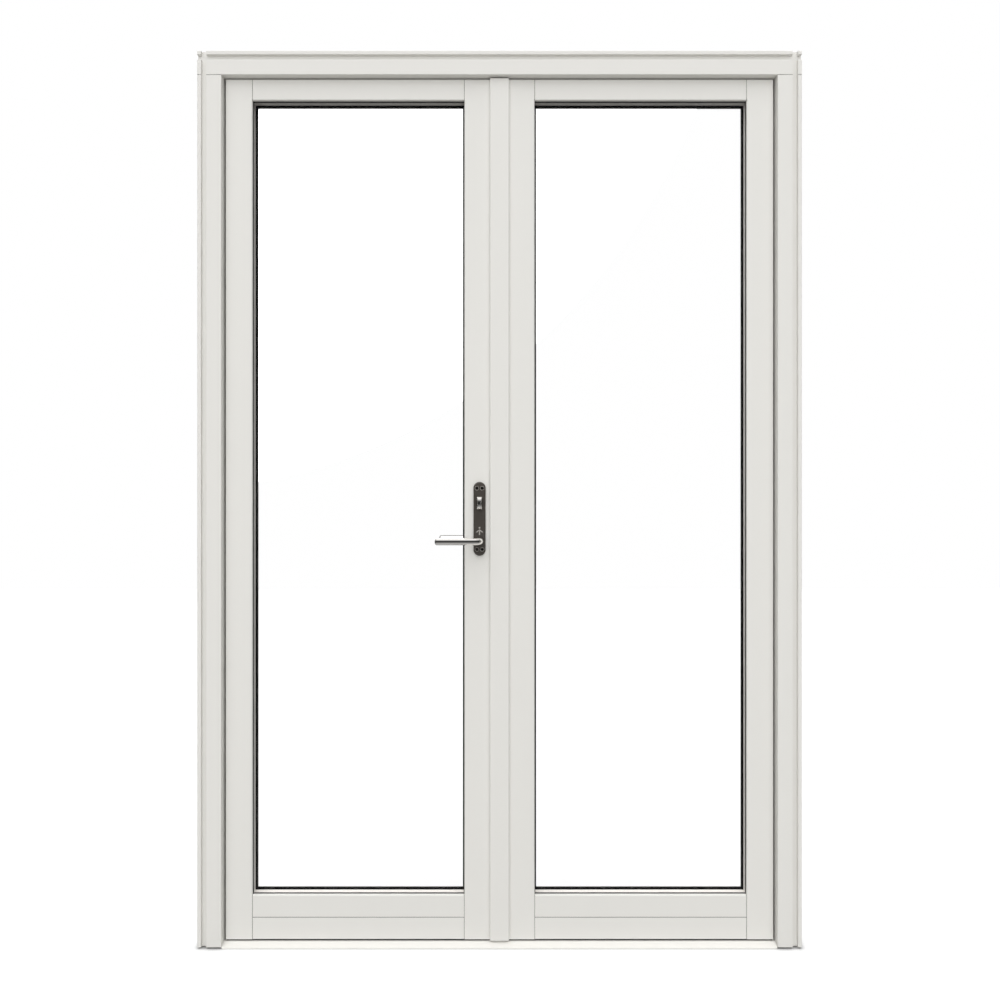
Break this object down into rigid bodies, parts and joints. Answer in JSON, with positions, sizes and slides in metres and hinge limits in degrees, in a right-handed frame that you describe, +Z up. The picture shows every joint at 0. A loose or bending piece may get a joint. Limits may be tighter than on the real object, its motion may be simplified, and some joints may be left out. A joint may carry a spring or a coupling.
{
  "type": "double glazed french doors with frame",
  "caption": "White painted timber double door with slim glazed leaves, opening outwards, in its frame with a low sill, a lever handle and a thumb-turn.",
  "frame": {"origin": "middle of the sill's underside: half the width, half the frame's depth, at the floor line", "axes": "+X along the wall to the right seen from the room, +Y through the wall to the outside, +Z up"},
  "size_m": [1.4, 0.1886, 2.08],
  "materials": {
    "paint": "satin off-white factory paint on pine",
    "sill_paint": "satin off-white powder coat",
    "glass": "clear float glass",
    "spacer": "warm grey-beige edge spacer",
    "rubber": "black weather seal",
    "packer": "glazing packer",
    "zinc": "zinc-plated steel",
    "chrome": "polished chrome plate",
    "dark_plate": "dark bronze-brown satin lacquer",
    "dark_screw": "blackened steel"
  },
  "bodies": {
    "frame": {"frame_head": "paint", "frame_jamb_left": "paint", "frame_jamb_right": "paint", "sill": "sill_paint", "frame_screws": "zinc", "frame_seals": "rubber", "frame_hinges": "zinc", "hinge_pins": "zinc", "head_keep": "zinc"},
    "active_leaf": {"active_bottom_rail": "paint", "active_bottom_seal": "rubber", "active_glazing_beads": "paint", "active_glazing_blocks": "packer", "active_hinge_screws": "zinc", "active_hinge_stile": "paint", "active_hinges": "zinc", "active_inner_gasket": "rubber", "active_inner_pane": "glass", "active_kick_board": "paint", "active_meeting_stile": "paint", "active_outer_gasket": "rubber", "active_outer_pane": "glass", "active_spacer": "spacer", "active_top_rail": "paint", "lock_faceplate": "zinc", "lock_case": "zinc", "inside_plate": "dark_plate", "outside_plate": "dark_plate", "handle_plate_screws": "dark_screw", "outer_cover_strip": "paint"},
    "passive_leaf": {"passive_bottom_rail": "paint", "passive_bottom_seal": "rubber", "passive_glazing_beads": "paint", "passive_glazing_blocks": "packer", "passive_hinge_screws": "zinc", "passive_hinge_stile": "paint", "passive_hinges": "zinc", "passive_inner_gasket": "rubber", "passive_inner_pane": "glass", "passive_kick_board": "paint", "passive_meeting_stile": "paint", "passive_outer_gasket": "rubber", "passive_outer_pane": "glass", "passive_spacer": "spacer", "passive_top_rail": "paint", "meeting_post": "paint", "lock_keeps": "zinc", "flush_bolt_plates": "zinc", "inner_cover_strip": "paint", "meeting_seal": "rubber"},
    "handle_set": {"inside_lever": "chrome", "outside_lever": "chrome", "spindle": "zinc", "follower": "zinc"},
    "bolt_set": {"lock_bolts": "zinc"},
    "rod_set": {"drive_rods": "zinc"},
    "turn_set": {"thumb_turn": "chrome"},
    "dead_bolt_set": {"dead_bolt": "zinc"},
    "top_bolt": {"top_flush_bolt": "zinc"},
    "bottom_bolt": {"bottom_flush_bolt": "zinc"}
  },
  "joints": [
    {"name": "active_swing", "type": "hinge", "parent": "frame", "child": "active_leaf", "pos_m": [-0.65, 0.0545, 1.02], "axis": [0, 0, 1], "range_deg": [0, 105]},
    {"name": "passive_swing", "type": "hinge", "parent": "frame", "child": "passive_leaf", "pos_m": [0.65, 0.0545, 1.02], "axis": [0, 0, -1], "range_deg": [0, 105]},
    {"name": "lever_turn", "type": "hinge", "parent": "active_leaf", "child": "handle_set", "pos_m": [-0.0465, 0, 0.9445], "axis": [0, 1, 0], "range_deg": [0, 45]},
    {"name": "bolt_slide", "type": "slide", "parent": "active_leaf", "child": "bolt_set", "axis": [1, 0, 0], "range_m": [0, 0.014]},
    {"name": "rod_slide", "type": "slide", "parent": "active_leaf", "child": "rod_set", "axis": [0, 0, 1], "range_m": [0, 0.018]},
    {"name": "thumb_turn_swing", "type": "hinge", "parent": "active_leaf", "child": "turn_set", "pos_m": [-0.0465, 0, 1.0325], "axis": [0, 1, 0], "range_deg": [0, 90]},
    {"name": "dead_bolt_slide", "type": "slide", "parent": "active_leaf", "child": "dead_bolt_set", "axis": [1, 0, 0], "range_m": [0, 0.012]},
    {"name": "top_bolt_slide", "type": "slide", "parent": "passive_leaf", "child": "top_bolt", "axis": [0, 0, 1], "range_m": [0, 0.015]},
    {"name": "bottom_bolt_slide", "type": "slide", "parent": "passive_leaf", "child": "bottom_bolt", "axis": [0, 0, -1], "range_m": [0, 0.012]}
  ],
  "couplings": [
    {"joint": "bolt_slide", "follows": "lever_turn", "m_per_rad": 0.017825},
    {"joint": "rod_slide", "follows": "lever_turn", "m_per_rad": 0.022918},
    {"joint": "thumb_turn_swing", "follows": "dead_bolt_slide", "rad_per_m": 130.9}
  ]
}
